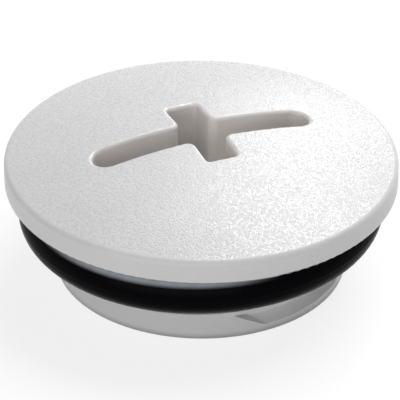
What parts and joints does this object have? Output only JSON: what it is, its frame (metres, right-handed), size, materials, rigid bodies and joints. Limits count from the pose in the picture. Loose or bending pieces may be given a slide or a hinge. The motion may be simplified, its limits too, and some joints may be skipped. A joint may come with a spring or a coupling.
{
  "type": "threaded hole plug",
  "caption": "Round screw-in plastic hole plug with a domed, cross-slotted head, a rubber seal ring under the head and a short, hollow, threaded shank.",
  "frame": {"origin": "centre of the shank's tail rim, on the plug's axis, which is the bottom centre of its box", "axes": "+Z along the plug's axis from the tail to the dome; +X along the long driving slot"},
  "size_m": [0.0266, 0.0266, 0.0104],
  "materials": {
    "plug_plastic": "light grey moulded polyamide, with a fine spark-eroded grain on the dome and smooth edges",
    "ring_rubber": "black satin nitrile rubber"
  },
  "bodies": {
    "root": {"threaded_plug": "plug_plastic", "seal_ring": "ring_rubber"}
  },
  "joints": []
}
